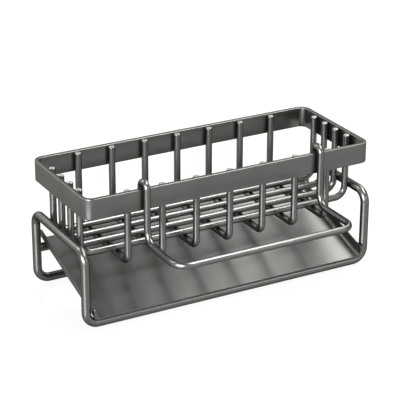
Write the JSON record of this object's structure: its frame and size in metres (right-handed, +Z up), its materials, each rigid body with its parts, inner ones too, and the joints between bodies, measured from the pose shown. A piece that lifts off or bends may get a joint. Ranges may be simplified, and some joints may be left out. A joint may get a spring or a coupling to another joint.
{
  "type": "kitchen sink caddy",
  "caption": "Steel wire basket with a flat band on a bent rod stand, with a sloping slide-out drip tray below and a lift-off cloth rail hooked over the front.",
  "frame": {"origin": "on the counter, under the middle of the four legs", "axes": "+X to the right along the basket, +Y to the back, away from the cloth rail, +Z up"},
  "size_m": [0.2364, 0.1436, 0.1047],
  "materials": {
    "rod_steel": "satin gunmetal",
    "wire_steel": "satin gunmetal",
    "band_steel": "satin gunmetal",
    "tray_steel": "satin gunmetal"
  },
  "bodies": {
    "rack": {"stand_frame": "rod_steel", "tray_support_bar": "rod_steel", "basket_band": "band_steel", "cross_wire_1": "wire_steel", "cross_wire_2": "wire_steel", "cross_wire_3": "wire_steel", "cross_wire_4": "wire_steel", "cross_wire_5": "wire_steel", "cross_wire_6": "wire_steel", "cross_wire_7": "wire_steel", "long_wire_1": "wire_steel", "long_wire_2": "wire_steel", "long_wire_3": "wire_steel", "long_wire_4": "wire_steel"},
    "tray": {"drip_tray": "tray_steel"},
    "rail": {"cloth_rail": "wire_steel"}
  },
  "joints": [
    {"name": "tray_slide", "type": "slide", "parent": "rack", "child": "tray", "axis": [0, 0.9575, 0.2884], "range_m": [0, 0.08]},
    {"name": "rail_lift", "type": "slide", "parent": "rack", "child": "rail", "axis": [0, 0, 1], "range_m": [0, 0.03]}
  ]
}
